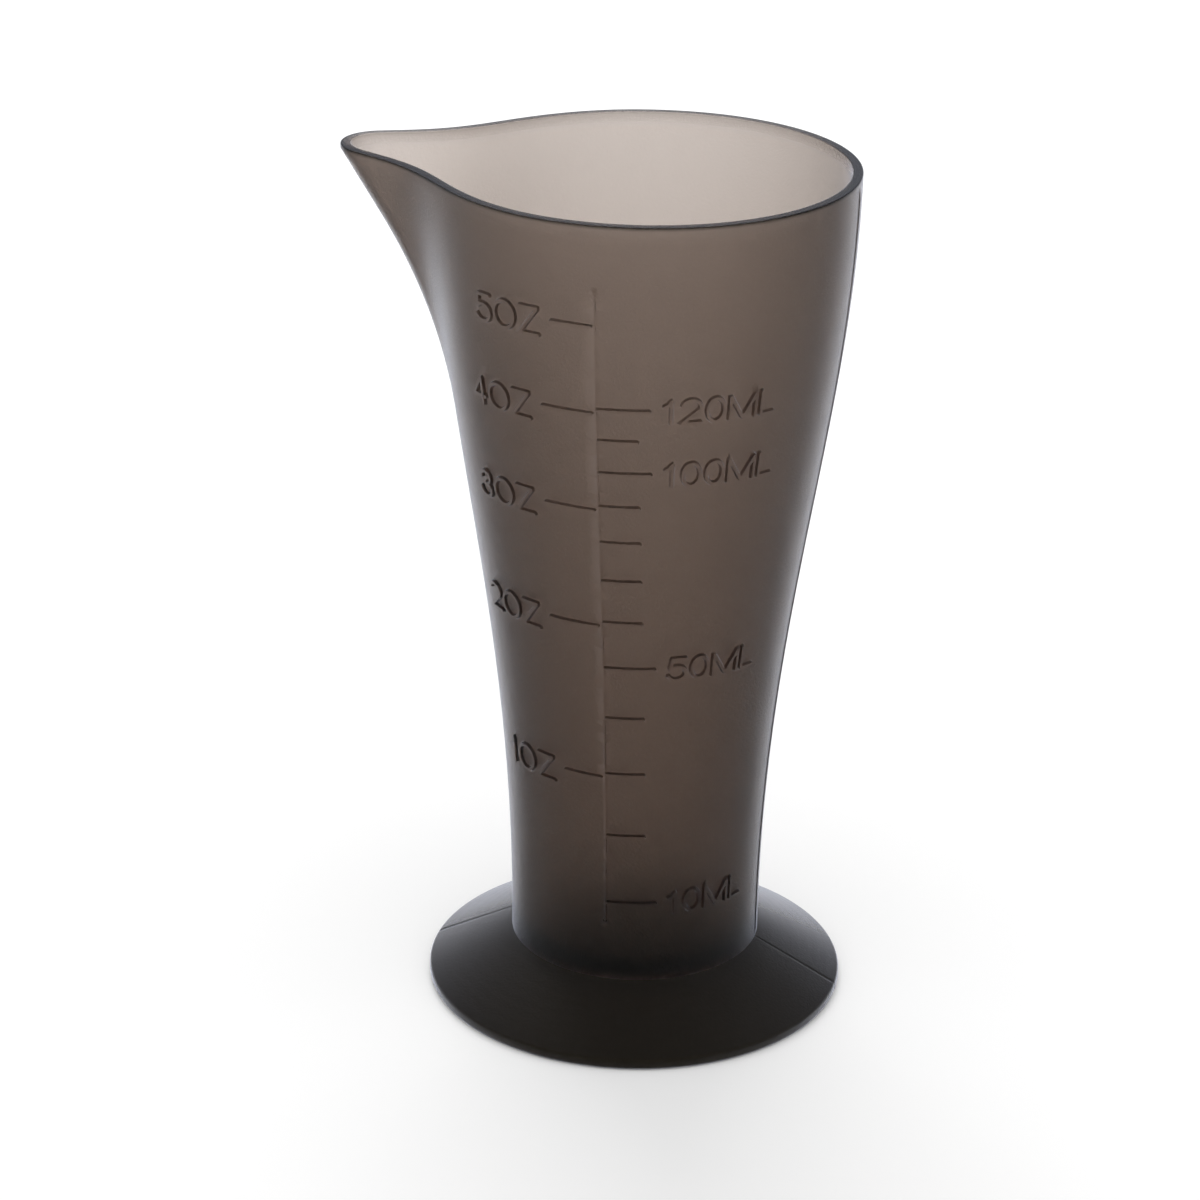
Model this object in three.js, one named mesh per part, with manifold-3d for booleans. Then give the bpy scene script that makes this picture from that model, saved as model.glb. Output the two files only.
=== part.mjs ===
// A small measuring cup: a beaker with a pouring lip and a raised scale, standing in a conical foot.
// Millimetres, +Z up. The scale faces -Y and the lip pours towards -X.

import * as THREE from 'three';
import { mergeVertices } from 'three/addons/utils/BufferGeometryUtils.js';
import Module from 'manifold-3d';

// Overall sizes
const HEIGHT = 126.2;          // table to rim, away from the lip
const RIM_RADIUS = 29.9;       // outside of the wall at the rim
const STEM_RADIUS = 18.6;      // outside of the wall where it meets the foot
const FOOT_RADIUS = 31.1;      // outside of the foot
const FOOT_HEIGHT = 7.8;       // table to the crease between stem and foot

// The wall's outside is one S-shaped Bezier curve, given by its two handles
const LOW_HANDLE_RISE = 52.5;  // lower handle's height above the crease
const LOW_HANDLE_LEAN = 0.3;   // how far the lower handle leans in
const TOP_HANDLE_DROP = 37;    // upper handle's depth below the rim
const TOP_HANDLE_LEAN = 0.2;   // how far the upper handle leans in
const RIM_WALL = 1.5;          // wall thickness at the rim
const STEM_WALL = 2.2;         // wall thickness at the floor
const RIM_ROUND = 0.4;         // broken edges of the rim

// Pouring lip: a straight-keeled beak, round at its tip, that opens towards the cup
const LIP_REACH = 44.8;        // cup's axis to the tip
const LIP_TIP_RADIUS = 6.5;    // round of the tip, seen from above
const LIP_HALF_ANGLE = 26;     // each side against the lip's centre line, in degrees
const LIP_RISE = 0.4;          // tip above the rest of the rim
const KEEL_LEAN = 33.2;        // keel against the upright, in degrees
const LIP_BLEND = 8.5;         // reach of the smooth join between lip and wall

// Floor of the vessel, and the spigot below it that plugs into the foot
const FLOOR_RISE = 0.9;        // inside of the floor above the crease
const FLOOR_THICKNESS = 2;
const FLOOR_FILLET = 3;        // round between the floor and the wall, inside
const SHOULDER = 2.3;          // width of the ledge under the wall, which rests on the foot
const SPIGOT_LENGTH = 3;
const SPIGOT_WALL = 1.6;
const SPIGOT_CLEARANCE = 0.3;  // between the spigot and its socket

// Foot
const FOOT_WALL = 1.8;
const FOOT_EDGE_RADIUS = 1;    // half-round outer edge
const RING_WIDTH = 1.7;        // flat ring that stands on the table
const RING_LIP = 0.4;          // least height of the ring's inner edge
const COLLAR_WALL = 1.6;       // ring round the socket

// Raised scale, as arc lengths on the wall
const RELIEF = 0.3;            // height of the marks above the wall
const MARK_WIDTH = 0.55;
const MARK_ROOT = 0.6;         // depth of a mark's root inside the wall
const SHORT_TICK = 5.5;
const LONG_TICK = 7.2;
const OUNCE_GAP = 0.5;         // between an ounce tick and the spine
const ML_STEP = 10;
const ML_LAST = 120;
const LONG_MARKS = [10, 50, 100, 120];
const ML_PER_OUNCE = 30;
const MM3_PER_ML = 1000;
const OUNCE_LAST = 5;
const SPINE_BELOW = 3.3;       // the spine's run past its lowest tick
const SPINE_DROP = 9.4;        // rim to the top of the spine

// Fineness of the facets
const BODY_COLUMNS = 44;
const LIP_COLUMNS = 30;
const LIP_SECTOR = 42;         // half-width of the finer sector at the lip, in degrees
const WALL_ROWS = 15;
const FILLET_ROWS = 3;
const FOOT_COLUMNS = 72;
const EDGE_POINTS = 5;
const MARK_STEP = 1.8;         // length of one facet along a tick
const SPINE_STEP = 6;
const VOLUME_SLICES = 120;

const SMOKE = new THREE.MeshStandardMaterial({ color: 0x6b5d54, roughness: 0.45, metalness: 0 });
const DARK_SMOKE = new THREE.MeshStandardMaterial({ color: 0x3d3530, roughness: 0.4, metalness: 0 });

const FLOOR_LEVEL = FOOT_HEIGHT + FLOOR_RISE;
const SPIGOT_RADIUS = STEM_RADIUS - SHOULDER;

const { degToRad, lerp } = THREE.MathUtils;
const wasm = await Module();
wasm.setup();

const wallCurve = new THREE.CubicBezierCurve(
  new THREE.Vector2(STEM_RADIUS, FOOT_HEIGHT),
  new THREE.Vector2(STEM_RADIUS - LOW_HANDLE_LEAN, FOOT_HEIGHT + LOW_HANDLE_RISE),
  new THREE.Vector2(RIM_RADIUS - TOP_HANDLE_LEAN, HEIGHT - TOP_HANDLE_DROP),
  new THREE.Vector2(RIM_RADIUS, HEIGHT),
);

// Halves the interval until the rising function reaches the goal.
function solveRising(rising, goal, low, high) {
  for (let step = 0; step < 40; step += 1) {
    const middle = (low + high) / 2;
    if (rising(middle) < goal) low = middle;
    else high = middle;
  }
  return (low + high) / 2;
}

// Outside radius of the round wall at a level, without the lip.
function wallRadius(level) {
  const t = solveRising((s) => wallCurve.getPoint(s).y, level, 0, 1);
  return wallCurve.getPoint(t).x;
}

function wallThickness(level) {
  return lerp(STEM_WALL, RIM_WALL, (level - FLOOR_LEVEL) / (HEIGHT - FLOOR_LEVEL));
}

// Distance from the axis to the beak's outline: its round tip, then its straight side, which fades out
// past the point where it comes closest to the axis.
function beakRadius(angle, centre, tip) {
  if (centre <= 0) return 0;
  const half = degToRad(LIP_HALF_ANGLE);
  const off = Math.abs(Math.atan2(Math.sin(angle), Math.cos(angle)));
  const tangent = Math.atan2(tip * Math.cos(half), centre + tip * Math.sin(half));
  if (off < tangent) {
    const across = centre * Math.sin(off);
    return centre * Math.cos(off) + Math.sqrt(tip * tip - across * across);
  }
  const closest = tip + centre * Math.sin(half);
  const bearing = Math.sin(off + half);
  return off + half < Math.PI / 2 ? closest / bearing : closest * Math.max(bearing, 0);
}

// Larger of two lengths, rounded over where they are alike.
function smoothMax(a, b, reach) {
  const near = Math.max(reach - Math.abs(a - b), 0) / reach;
  return Math.max(a, b) + (near * near * reach) / 4;
}

// Radius of the wall with its lip, moved inwards by an inset. The angle is counted from the lip.
function shellRadius(angle, level, inset) {
  const centre = LIP_REACH - LIP_TIP_RADIUS - (HEIGHT - level) * Math.tan(degToRad(KEEL_LEAN));
  const beak = beakRadius(angle, centre, LIP_TIP_RADIUS - inset);
  return smoothMax(wallRadius(level) - inset, beak, LIP_BLEND);
}

// Inset of the cavity: the wall's thickness, and the round above the floor.
function cavityInset(level) {
  const drop = Math.max(FLOOR_LEVEL + FLOOR_FILLET - level, 0);
  const round = FLOOR_FILLET - Math.sqrt(Math.max(FLOOR_FILLET ** 2 - drop ** 2, 0));
  return wallThickness(level) + round;
}

// Angles of the columns, counted from the lip, finer in the lip's sector.
const columns = [];
for (let i = 0; i < LIP_COLUMNS; i += 1) {
  columns.push(degToRad(lerp(-LIP_SECTOR, LIP_SECTOR, i / LIP_COLUMNS)));
}
for (let i = 0; i < BODY_COLUMNS; i += 1) {
  columns.push(degToRad(lerp(LIP_SECTOR, 360 - LIP_SECTOR, i / BODY_COLUMNS)));
}

function pointAt(angle, radius, level) {
  return new THREE.Vector3(-radius * Math.cos(angle), -radius * Math.sin(angle), level);
}

// One level of the wall, which rises a little where the lip stands out from the round.
function shellRing(level, inset) {
  const round = wallRadius(level) - inset;
  const rise = LIP_RISE / (LIP_REACH - RIM_RADIUS);
  return columns.map((angle) => {
    const radius = shellRadius(angle, level, inset);
    return pointAt(angle, radius, level + (radius - round) * rise);
  });
}

const cavityRing = (level) => shellRing(level, cavityInset(level));
const roundRing = (level, radius) => columns.map((angle) => pointAt(angle, radius, level));

// Closed skin through rings that run from a point on the axis to another point on the axis.
function loft(first, rings, last) {
  const count = columns.length;
  const points = [first, ...rings.flat(), last];
  const triangles = [];
  const at = (row, column) => 1 + row * count + (column % count);
  for (let column = 0; column < count; column += 1) {
    triangles.push(0, at(0, column + 1), at(0, column));
    for (let row = 0; row + 1 < rings.length; row += 1) {
      const [a, b] = [at(row, column), at(row, column + 1)];
      const [c, d] = [at(row + 1, column), at(row + 1, column + 1)];
      triangles.push(a, b, d, a, d, c);
    }
    triangles.push(at(rings.length - 1, column), at(rings.length - 1, column + 1), points.length - 1);
  }
  const geometry = new THREE.BufferGeometry().setFromPoints(points);
  geometry.setIndex(triangles);
  return geometry;
}

function steps(from, to, count) {
  return Array.from({ length: count + 1 }, (_, i) => lerp(from, to, i / count));
}

// Boolean joins
function toSolid(geometry) {
  const bare = geometry.clone();
  bare.deleteAttribute('normal');
  bare.deleteAttribute('uv');
  const merged = mergeVertices(bare, 1e-4);
  return new wasm.Manifold(new wasm.Mesh({
    numProp: 3,
    vertProperties: new Float32Array(merged.attributes.position.array),
    triVerts: new Uint32Array(merged.index.array),
  }));
}

function toGeometry(solid) {
  const mesh = solid.getMesh();
  const geometry = new THREE.BufferGeometry();
  geometry.setAttribute('position', new THREE.BufferAttribute(mesh.vertProperties, 3));
  geometry.setIndex(new THREE.BufferAttribute(mesh.triVerts, 1));
  geometry.computeVertexNormals();
  return geometry;
}

// Vessel
function cupShell() {
  const spigotEnd = FOOT_HEIGHT - SPIGOT_LENGTH;
  const spigotBore = SPIGOT_RADIUS - SPIGOT_WALL;
  const underside = FLOOR_LEVEL - FLOOR_THICKNESS;
  const shoulderOfRim = HEIGHT - RIM_ROUND;
  const rings = [
    roundRing(underside, spigotBore),
    roundRing(spigotEnd, spigotBore),
    roundRing(spigotEnd, SPIGOT_RADIUS),
    roundRing(FOOT_HEIGHT, SPIGOT_RADIUS),
    ...steps(FOOT_HEIGHT, shoulderOfRim, WALL_ROWS).map((level) => shellRing(level, 0)),
    shellRing(HEIGHT, RIM_ROUND),
    shellRing(HEIGHT, RIM_WALL - RIM_ROUND),
    ...steps(shoulderOfRim, FLOOR_LEVEL + FLOOR_FILLET, WALL_ROWS).map(cavityRing),
  ];
  for (const turn of steps(0, Math.PI / 2, FILLET_ROWS).slice(1)) {
    rings.push(cavityRing(FLOOR_LEVEL + FLOOR_FILLET * (1 - Math.sin(turn))));
  }
  return loft(new THREE.Vector3(0, 0, underside), rings, new THREE.Vector3(0, 0, FLOOR_LEVEL));
}

// Volume held below each level, in millilitres, from the area of the cavity at that level.
function heldVolume() {
  const levels = steps(FLOOR_LEVEL, HEIGHT - RIM_ROUND, VOLUME_SLICES);
  const areas = levels.map((level) => Math.abs(THREE.ShapeUtils.area(cavityRing(level))));
  const volumes = [0];
  for (let i = 1; i < levels.length; i += 1) {
    const slice = ((areas[i - 1] + areas[i]) / 2) * (levels[i] - levels[i - 1]);
    volumes.push(volumes[i - 1] + slice / MM3_PER_ML);
  }
  return { levels, volumes };
}

const held = heldVolume();

function levelOf(millilitres) {
  const above = held.volumes.findIndex((volume) => volume >= millilitres);
  if (above < 1) return Infinity;
  const [low, high] = [held.volumes[above - 1], held.volumes[above]];
  return lerp(held.levels[above - 1], held.levels[above], (millilitres - low) / (high - low));
}

// A bar bent onto the front of the wall: its arc from the spine, and its span of levels.
function raisedBar(arcFrom, arcTo, levelFrom, levelTo) {
  const [length, rise] = [arcTo - arcFrom, levelTo - levelFrom];
  const along = Math.ceil(length / MARK_STEP);
  const up = Math.ceil(rise / SPINE_STEP);
  const bar = new THREE.BoxGeometry(length, rise, RELIEF + MARK_ROOT, along, up, 1);
  bar.translate((arcFrom + arcTo) / 2, (levelFrom + levelTo) / 2, (RELIEF - MARK_ROOT) / 2);
  const middle = wallRadius((levelFrom + levelTo) / 2);
  const isSpine = rise > length;
  const position = bar.attributes.position;
  for (let i = 0; i < position.count; i += 1) {
    const [arc, level, height] = [position.getX(i), position.getY(i), position.getZ(i)];
    const radius = wallRadius(level) + height;
    const angle = arc / (isSpine ? wallRadius(level) : middle);
    position.setXYZ(i, radius * Math.sin(angle), -radius * Math.cos(angle), level);
  }
  return bar;
}

function raisedTick(arcFrom, arcTo, level) {
  return raisedBar(arcFrom, arcTo, level - MARK_WIDTH / 2, level + MARK_WIDTH / 2);
}

function raisedScale() {
  const marks = [];
  for (let ml = ML_STEP; ml <= ML_LAST; ml += ML_STEP) {
    marks.push([levelOf(ml), 0, LONG_MARKS.includes(ml) ? LONG_TICK : SHORT_TICK]);
  }
  for (let ounce = 1; ounce <= OUNCE_LAST; ounce += 1) {
    const isEnd = ounce === 1 || ounce === OUNCE_LAST;
    const length = isEnd ? SHORT_TICK : LONG_TICK;
    marks.push([levelOf(ounce * ML_PER_OUNCE), -OUNCE_GAP - length, -OUNCE_GAP]);
  }
  const top = HEIGHT - SPINE_DROP;
  const bottom = levelOf(ML_STEP) - SPINE_BELOW;
  const shown = marks.filter(([level]) => level + MARK_WIDTH < top);
  const bars = shown.map(([level, arcFrom, arcTo]) => raisedTick(arcFrom, arcTo, level));
  bars.push(raisedBar(-MARK_WIDTH / 2, MARK_WIDTH / 2, bottom, top));
  return bars;
}

function makeVessel() {
  let solid = toSolid(cupShell());
  for (const bar of raisedScale()) solid = solid.add(toSolid(bar));
  const mesh = new THREE.Mesh(toGeometry(solid), SMOKE);
  mesh.name = 'vessel';
  return mesh;
}

// Foot: a ring turned from one closed outline
function footOutline() {
  const socket = SPIGOT_RADIUS + SPIGOT_CLEARANCE;
  const collar = socket + COLLAR_WALL;
  const collarEnd = FOOT_HEIGHT - SPIGOT_LENGTH;
  const edge = new THREE.Vector2(FOOT_RADIUS - FOOT_EDGE_RADIUS, FOOT_EDGE_RADIUS);
  const crease = new THREE.Vector2(STEM_RADIUS, FOOT_HEIGHT);

  // The cone runs from the crease and touches the round edge
  const run = edge.clone().sub(crease);
  const fall = Math.atan2(run.y, run.x) + Math.asin(FOOT_EDGE_RADIUS / run.length());
  const coneLevel = (radius) => FOOT_HEIGHT + (radius - STEM_RADIUS) * Math.tan(fall);
  const underside = (radius) => coneLevel(radius) - FOOT_WALL / Math.cos(fall);
  const thinnest = STEM_RADIUS + (RING_LIP + FOOT_WALL / Math.cos(fall) - FOOT_HEIGHT) / Math.tan(fall);
  const ringInside = Math.min(edge.x - RING_WIDTH, thinnest);
  const outline = [
    new THREE.Vector2(socket, FOOT_HEIGHT),
    new THREE.Vector2(socket, collarEnd),
    new THREE.Vector2(collar, collarEnd),
    new THREE.Vector2(collar, underside(collar)),
    new THREE.Vector2(ringInside, underside(ringInside)),
    new THREE.Vector2(ringInside, 0),
  ];
  for (const angle of steps(-Math.PI / 2, Math.PI / 2 + fall, EDGE_POINTS)) {
    const out = new THREE.Vector2(Math.cos(angle), Math.sin(angle));
    outline.push(edge.clone().addScaledVector(out, FOOT_EDGE_RADIUS));
  }
  outline.push(crease);
  return outline;
}

function makeFoot() {
  const outline = footOutline();
  const lathe = new THREE.LatheGeometry([...outline, outline[0]], FOOT_COLUMNS);
  lathe.rotateX(Math.PI / 2);
  const mesh = new THREE.Mesh(lathe, DARK_SMOKE);
  mesh.name = 'foot';
  return mesh;
}

// The origin lies on the table, under the middle of the whole outline
const cup = new THREE.Group();
cup.add(makeVessel(), makeFoot());
const tipReach = shellRadius(0, HEIGHT - RIM_ROUND, 0);
cup.position.x = (tipReach - Math.max(FOOT_RADIUS, RIM_RADIUS)) / 2;

export default cup;
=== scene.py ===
"""A smoky measuring cup with a pouring lip and a raised scale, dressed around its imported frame.

Laid out as an add-on: sizes and colours sit in property groups, and each piece has its own operator.
All lengths are in metres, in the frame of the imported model.
"""

import math
from functools import partial

import bmesh
import bpy
import numpy as np
from mathutils import Matrix, Vector
from mathutils.geometry import delaunay_2d_cdt
from mathutils.kdtree import KDTree


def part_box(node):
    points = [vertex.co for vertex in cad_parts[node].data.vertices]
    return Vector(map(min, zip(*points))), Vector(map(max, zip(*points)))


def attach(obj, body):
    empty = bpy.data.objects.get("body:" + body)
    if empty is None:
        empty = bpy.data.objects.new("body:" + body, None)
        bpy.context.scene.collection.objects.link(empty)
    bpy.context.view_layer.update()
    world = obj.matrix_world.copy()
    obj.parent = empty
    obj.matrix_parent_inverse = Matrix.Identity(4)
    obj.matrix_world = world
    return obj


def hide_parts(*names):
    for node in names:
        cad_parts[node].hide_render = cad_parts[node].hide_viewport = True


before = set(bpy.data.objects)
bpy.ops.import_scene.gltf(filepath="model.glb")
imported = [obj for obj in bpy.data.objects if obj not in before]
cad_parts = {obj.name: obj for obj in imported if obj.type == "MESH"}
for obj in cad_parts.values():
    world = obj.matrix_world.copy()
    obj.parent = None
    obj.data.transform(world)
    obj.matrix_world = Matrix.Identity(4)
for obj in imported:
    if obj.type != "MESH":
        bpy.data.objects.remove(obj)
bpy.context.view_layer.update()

bl_info = {
    "name": "Measuring cup",
    "version": (1, 0, 0),
    "blender": (4, 5, 0),
    "location": "3D View > Sidebar > Cup",
    "description": "Builds a smoky measuring cup with a pouring lip and a raised scale",
    "category": "Mesh",
}

MM = 0.001
ML = 1e-6
BODY = "root"
FOOT_LOW, FOOT_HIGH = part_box("foot")
AXIS_X = (FOOT_LOW.x + FOOT_HIGH.x) / 2


def linear(hex_colour):
    """Linear RGBA of an sRGB hex colour."""
    parts = [int(hex_colour[i:i + 2], 16) / 255 for i in (1, 3, 5)]
    return [c / 12.92 if c <= 0.04045 else ((c + 0.055) / 1.055) ** 2.4 for c in parts] + [1.0]


def length(name, description, millimetres):
    """A length that the user can change."""
    return bpy.props.FloatProperty(
        name=name, description=description, default=millimetres * MM,
        precision=5, subtype="DISTANCE", unit="LENGTH",
    )


def angle(name, description, degrees):
    """An angle that the user can change."""
    return bpy.props.FloatProperty(
        name=name, description=description, default=math.radians(degrees), subtype="ANGLE", unit="ROTATION"
    )


def share(name, description, value):
    """A plain factor that the user can change."""
    return bpy.props.FloatProperty(name=name, description=description, default=value, min=0, subtype="FACTOR")


def number(name, description, value, unit="NONE"):
    """A plain number that the user can change."""
    return bpy.props.FloatProperty(name=name, description=description, default=value, unit=unit)


def colour(name, description, hex_colour):
    """A colour that the user can change."""
    return bpy.props.FloatVectorProperty(
        name=name, description=description, default=linear(hex_colour), size=4, min=0, max=1, subtype="COLOR"
    )


class CupWallSizes(bpy.types.PropertyGroup):
    """The round wall: an S-shaped curve from the crease at the foot to the rim."""

    height: length("Rim height", "Table to rim, away from the lip", 126.2)
    rim_radius: length("Rim radius", "Outside of the wall at the rim", 29.9)
    stem_radius: length("Stem radius", "Outside of the wall at the crease", 18.6)
    crease: length("Crease height", "Table to the crease between stem and foot", FOOT_HIGH.z / MM)
    low_rise: length("Lower handle rise", "Lower handle of the S curve above the crease", 52.5)
    low_lean: length("Lower handle lean", "How far the lower handle leans in", 0.3)
    top_drop: length("Upper handle drop", "Upper handle of the S curve below the rim", 37)
    top_lean: length("Upper handle lean", "How far the upper handle leans in", 0.2)
    rim_wall: length("Wall at rim", "Wall thickness at the rim", 1.5)
    stem_wall: length("Wall at stem", "Wall thickness at the floor", 2.2)
    rim_rise: length("Rim rise", "Upright last part of the wall, up to the rim's top", 0.6)
    rim_edge: length("Rim edge", "Rounding of the rim's two edges", 0.16)


class CupLipSizes(bpy.types.PropertyGroup):
    """The pouring lip: a beak with a straight keel and a round tip."""

    reach: length("Reach", "Axis of the cup to the tip", 44.8)
    tip_radius: length("Tip radius", "Round of the tip, seen from above", 6.5)
    half_angle: angle("Half angle", "Each side against the lip's centre line", 26)
    rise: length("Rise", "Tip above the rest of the rim", 0.39)
    keel_lean: angle("Keel lean", "Keel against the upright", 33.2)
    blend: length("Blend", "Reach of the smooth join with the wall", 8.5)


class CupFloorSizes(bpy.types.PropertyGroup):
    """The floor of the vessel and the hidden spigot that plugs into the foot."""

    floor_rise: length("Floor rise", "Inside of the floor above the crease", 0.9)
    floor_thickness: length("Floor thickness", "Thickness of the floor", 2)
    fillet: length("Floor fillet", "Round between floor and wall, inside", 3)
    shoulder: length("Shoulder", "Ledge under the wall that rests on the foot", 2.3)
    spigot_length: length("Spigot length", "Length of the spigot", 3)
    spigot_wall: length("Spigot wall", "Wall of the spigot", 1.6)


class CupScaleSizes(bpy.types.PropertyGroup):
    """The raised scale: a spine, ticks and numerals on the wall."""

    relief: length("Relief", "Height of the marks above the wall", 0.42)
    stroke: length("Stroke", "Width of a mark", 0.6)
    spine_relief: length("Spine relief", "Height of the worn spine", 0.2)
    letter_height: length("Letter height", "Height of the numerals and letters", 4.0)
    letter_gap: length("Letter gap", "Gap between two letters", 0.3)
    ounce_letters: share("Ounce letters", "Height of the ounce labels against the others", 1.1)
    label_gap: length("Label gap", "Gap between a tick and its label", 1.8)
    short_tick: length("Short tick", "Length of a short tick", 5.5)
    long_tick: length("Long tick", "Length of a long tick", 7.2)
    tick_gap: length("Tick gap", "Start of a millilitre tick beside the spine's middle", 0.2)
    ounce_drop: length("Ounce drop", "Ounce ticks below their exact level", 0.6)
    ounce_label_drop: length("Ounce label drop", "Ounce labels below their ticks", 0.4)
    ounce_gap: length("Ounce gap", "Gap between an ounce tick and the spine", 0.5)
    spine_below: length("Spine below", "Run of the spine past its lowest tick", 3.3)
    spine_drop: length("Spine drop", "Rim to the top of the spine", 9.4)


class CupFootSizes(bpy.types.PropertyGroup):
    """The conical foot with a hollow underside."""

    radius: length("Radius", "Outside of the foot", (FOOT_HIGH.x - FOOT_LOW.x) / 2 / MM)
    edge_height: length("Edge height", "Upright edge before the cone starts", 1.62)
    edge_round: length("Edge round", "Round of the outer edge", 0.6)
    wall: length("Wall", "Thickness of the cone", 1.8)
    ring_width: length("Ring width", "Flat ring that stands on the table", 2.7)
    collar_wall: length("Collar wall", "Ring round the socket", 1.6)
    clearance: length("Clearance", "Gap to the vessel in the socket", 0.3)
    seat_gap: length("Seat gap", "Gap under the vessel's shoulder", 0.04)
    lip: length("Lip", "Fine lip round the stem that covers the joint", 0.12)


class CupPlastic(bpy.types.PropertyGroup):
    """What the smoky polypropylene is alike in, all over the cup."""

    smoke: colour("Smoke", "Colour that a deep wall lets through", "#8a612e")
    milk: colour("Milk", "Milky skin of the inside, on the mould's core", "#fffaf6")
    milk_share: share("Milk share", "How much of the inside's skin is milky", 0.3)
    # Painted shade: a dark base colour on the rim's outer edge stands in for the light that runs down inside
    # the wall and is lost
    rim_shade: colour("Rim shade", "Dark outer edge of the rim", "#303030")
    polished: share("Polished roughness", "Roughness of the rim", 0.15)
    mark_polish: share("Mark polish", "Polish of the marks against that of the rim", 0.7)


class CupVesselSkin(bpy.types.PropertyGroup):
    """The vessel's own skin, frosted by the mould."""

    frost: colour("Frost", "Colour of the frosted outside", "#ffffff")
    clearness: share("Clearness", "Share of the light that passes the skin", 1.0)
    density: number("Density", "Absorption of the smoke for each metre of wall", 600)
    roughness: share("Roughness", "Roughness of the spark-eroded outside", 0.6)
    gleam: colour("Gleam", "Strength of the mirror image seen square on", "#7c7c7c")
    haze: colour("Haze", "Cool haze of the skin at a glancing angle", "#c9cede")
    haze_spread: share("Haze spread", "How far the haze reaches in from a glancing angle", 0.28)
    grain: length("Grain", "Depth of the spark-eroded grain", 0.08)


class CupFootSkin(bpy.types.PropertyGroup):
    """The foot's own skin, denser and smoother than the vessel's."""

    frost: colour("Frost", "Colour of the dense skin", "#9f917c")
    clearness: share("Clearness", "Share of the light that passes the skin", 0.98)
    density: number("Density", "Absorption of the smoke for each metre in the foot", 1000)
    roughness: share("Roughness", "Roughness of the smoother skin", 0.4)
    gleam: colour("Gleam", "Strength of the mirror image seen square on", "#665c4a")
    haze: colour("Haze", "Cool haze of the skin at a glancing angle", "#e2e7fa")
    haze_spread: share("Haze spread", "How far the haze reaches in from a glancing angle", 0.35)
    grain: length("Grain", "Depth of the spark-eroded grain", 0.035)


class CupStage(bpy.types.PropertyGroup):
    """Floor, light and camera."""

    floor: colour("Floor", "Pale floor", "#ffffff")
    dome: share("Dome level", "Light from all round", 0.85)
    dome_front: share("Dome front", "How much more of the light comes from the front", 0.55)
    dome_right: share("Dome right", "How much more of the light comes from the right", 0.15)
    front: share("Front level", "What gloss and clear plastic see in front, against the backdrop", 0.06)
    softbox: number("Softbox", "Power of the soft light overhead", 3.5, "POWER")
    lens: number("Lens", "Focal length on a 36 mm sensor", 104.06, "CAMERA")


def add_node(tree, kind, inputs=None, **settings):
    """Adds a node with its settings, sets or links its inputs by name or place, and returns its outputs."""
    node = tree.nodes.new(kind)
    for key, value in settings.items():
        setattr(node, key, value)
    for key, value in (inputs or {}).items():
        if isinstance(value, bpy.types.NodeSocket):
            tree.links.new(value, node.inputs[key])
        else:
            node.inputs[key].default_value = value
    return node.outputs


def add_piece(name, mesh):
    """Puts a mesh into the scene as an object at the origin."""
    piece = bpy.data.objects.new(name, mesh)
    bpy.context.scene.collection.objects.link(piece)
    return piece


def settle(piece, node):
    """Fixes a finished piece to the frame in place of a CAD node."""
    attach(piece, BODY)
    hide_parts(node)


# Materials

# Spark-eroded grain is about 0.1 mm wide, and is drawn coarser so that it shows
GRAIN_WIDTH = 0.4 * MM
FLOW_RING_SPACING = 1.7 * MM
FLOW_RING_SHARE = 0.18
# Length of one wave of the wave texture at scale 1
WAVE_LENGTH = math.tau / 20
# Point attributes of the vessel's skin: smoothness, milky inside, and painted shade on the rim's outer edge
FINISHES_AND_PAINTED_SHADE = ("polish", "core", "shade")


def empty_tree(owner):
    """Switches on the nodes of a material or world, and clears them."""
    owner.use_nodes = True
    owner.node_tree.nodes.clear()
    return owner.node_tree


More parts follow.
